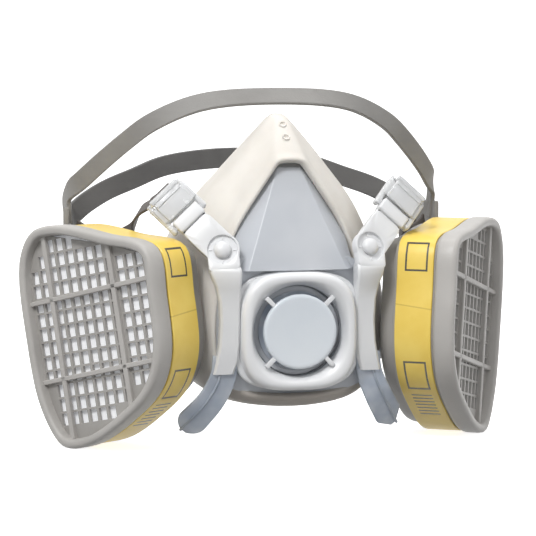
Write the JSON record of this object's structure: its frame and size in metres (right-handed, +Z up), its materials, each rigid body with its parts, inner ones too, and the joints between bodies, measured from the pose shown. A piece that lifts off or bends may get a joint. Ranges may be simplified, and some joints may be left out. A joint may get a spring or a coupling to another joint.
{
  "type": "half-mask respirator",
  "caption": "Reusable half-mask respirator: soft facepiece, exhalation valve, two angled filter cartridges, tilting strap buckles and a head harness.",
  "frame": {"origin": "centre of the face seal, between the wearer's cheeks", "axes": "+Y towards the wearer's face, +Z up, +X to the right as seen from in front of the mask (left and right in the node names are the same)"},
  "size_m": [0.2192, 0.1234, 0.151],
  "materials": {
    "elastomer": "soft satin off-white moulded elastomer, faintly mottled",
    "centre_shell": "satin blue-grey moulded plastic",
    "white_plastic": "satin white moulded plastic with soft edges",
    "clear_plastic": "frosty natural plastic",
    "case_plastic": "mid grey moulded plastic, fine texture, paler worn edges",
    "label": "yellow film label, satin, blank boxes and lines only",
    "filter_pad": "white non-woven filter felt",
    "sorbent": "black activated carbon granules",
    "flap_rubber": "thin translucent bluish silicone",
    "harness_rubber": "satin grey moulded rubber, finely grained"
  },
  "bodies": {
    "root": {"facepiece": "elastomer", "centre_shell": "centre_shell", "harness_yoke": "white_plastic", "valve_cover": "white_plastic", "exhalation_seat": "centre_shell", "crown_band": "harness_rubber", "back_band": "harness_rubber", "left_elbow_post": "white_plastic", "left_side_strap": "harness_rubber", "left_joint_plate": "harness_rubber", "left_inlet_port": "centre_shell", "left_grille_cover": "case_plastic", "left_filter_pad": "filter_pad", "left_cartridge_case": "case_plastic", "left_label_band": "label", "left_sorbent_bed": "sorbent", "left_back_scrim": "filter_pad", "right_elbow_post": "white_plastic", "right_side_strap": "harness_rubber", "right_joint_plate": "harness_rubber", "right_inlet_port": "centre_shell", "right_grille_cover": "case_plastic", "right_filter_pad": "filter_pad", "right_cartridge_case": "case_plastic", "right_label_band": "label", "right_sorbent_bed": "sorbent", "right_back_scrim": "filter_pad"},
    "left_tilt": {"left_buckle": "clear_plastic"},
    "right_tilt": {"right_buckle": "clear_plastic"},
    "exhaust_flap": {"exhalation_flap": "flap_rubber"},
    "left_inlet_flap": {"left_inhalation_flap": "flap_rubber"},
    "right_inlet_flap": {"right_inhalation_flap": "flap_rubber"}
  },
  "joints": [
    {"name": "left_buckle_tilt", "type": "hinge", "parent": "root", "child": "left_tilt", "pos_m": [-0.04435, -0.04466, 0.01947], "axis": [-0.74, -0.0552, -0.6704], "range_deg": [-15, 50], "deforming": ["left_side_strap"]},
    {"name": "right_buckle_tilt", "type": "hinge", "parent": "root", "child": "right_tilt", "pos_m": [0.04435, -0.04466, 0.01947], "axis": [-0.74, 0.0552, 0.6704], "range_deg": [-15, 50], "deforming": ["right_side_strap"]},
    {"name": "exhaust_flap_lift", "type": "slide", "parent": "root", "child": "exhaust_flap", "axis": [0, -1, 0], "range_m": [0, 0.002], "stiffness_N_per_m": 12},
    {"name": "left_inlet_flap_lift", "type": "slide", "parent": "root", "child": "left_inlet_flap", "axis": [0.8192, 0.5736, 0], "range_m": [0, 0.0015], "stiffness_N_per_m": 12},
    {"name": "right_inlet_flap_lift", "type": "slide", "parent": "root", "child": "right_inlet_flap", "axis": [-0.8192, 0.5736, 0], "range_m": [0, 0.0015], "stiffness_N_per_m": 12}
  ]
}
